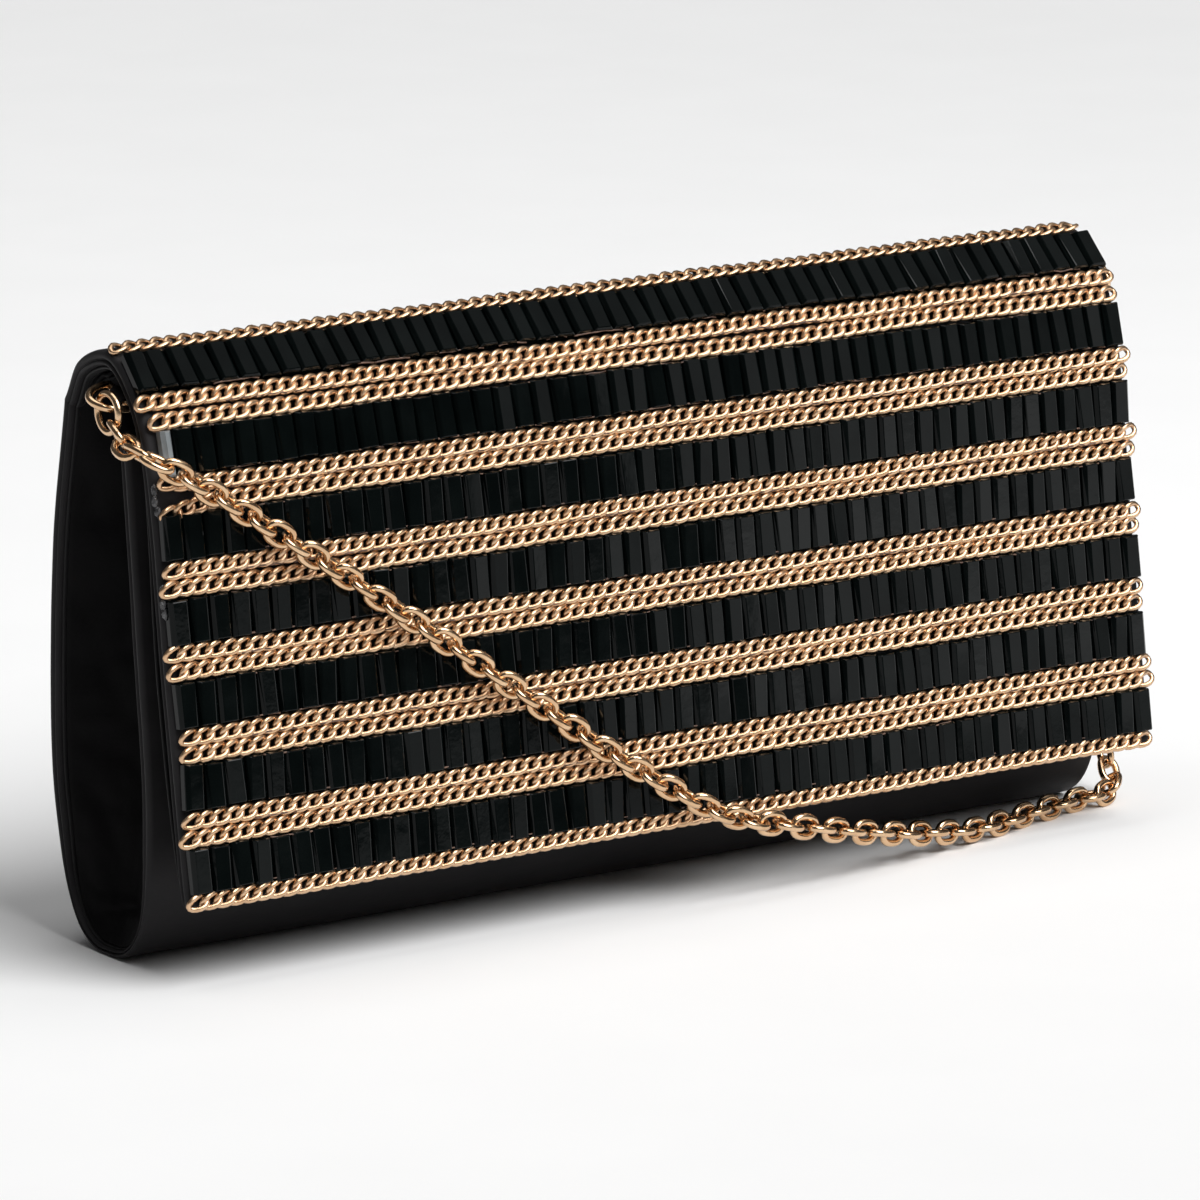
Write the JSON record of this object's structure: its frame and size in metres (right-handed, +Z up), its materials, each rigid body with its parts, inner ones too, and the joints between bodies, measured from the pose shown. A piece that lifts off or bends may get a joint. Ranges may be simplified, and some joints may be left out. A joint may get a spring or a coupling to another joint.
{
  "type": "clutch purse",
  "caption": "Boarded satin evening clutch with a wrap-over flap trimmed in baguette stones and curb chain, folded gussets and a chain strap.",
  "frame": {"origin": "centre of the purse's footprint on the surface it stands on", "axes": "+X along the width, -Y towards the flap's face, +Z up"},
  "size_m": [0.265, 0.0631, 0.1287],
  "materials": {
    "satin": "satin",
    "lining": "satin",
    "board": "matte",
    "stone": "gloss",
    "trim_chain": "gloss",
    "strap_metal": "gloss",
    "snap_metal": "gloss"
  },
  "bodies": {
    "case": {"case_cover": "satin", "case_board": "board", "case_lining": "lining", "case_snap_washer": "snap_metal", "snap_socket": "snap_metal", "gusset_left": "satin", "gusset_right": "satin", "gusset_lining_left": "lining", "gusset_lining_right": "lining"},
    "flap": {"flap_cover": "satin", "flap_board": "board", "flap_lining": "lining", "flap_snap_washer": "snap_metal", "snap_stud": "snap_metal", "stone_row_1": "stone", "stone_row_2": "stone", "stone_row_3": "stone", "stone_row_4": "stone", "stone_row_5": "stone", "stone_row_6": "stone", "stone_row_7": "stone", "curb_chain_01": "trim_chain", "curb_chain_02": "trim_chain", "curb_chain_03": "trim_chain", "curb_chain_04": "trim_chain", "curb_chain_05": "trim_chain", "curb_chain_06": "trim_chain", "curb_chain_07": "trim_chain", "curb_chain_08": "trim_chain", "curb_chain_09": "trim_chain", "curb_chain_10": "trim_chain", "curb_chain_11": "trim_chain", "curb_chain_12": "trim_chain", "curb_chain_13": "trim_chain", "curb_chain_14": "trim_chain", "ring_tab_left": "satin", "ring_tab_right": "satin", "d_ring_left": "strap_metal", "d_ring_right": "strap_metal"},
    "strap": {"jump_ring_left": "strap_metal", "jump_ring_right": "strap_metal", "strap_chain": "strap_metal"}
  },
  "joints": [
    {"name": "flap_hinge", "type": "hinge", "parent": "case", "child": "flap", "pos_m": [0, 0.0226, 0.1155], "axis": [-1, 0, 0], "range_deg": [0, 180]},
    {"name": "strap_swing", "type": "hinge", "parent": "flap", "child": "strap", "pos_m": [0, -0.0011, 0.1174], "axis": [-1, 0, 0], "range_deg": [0, 150]}
  ]
}
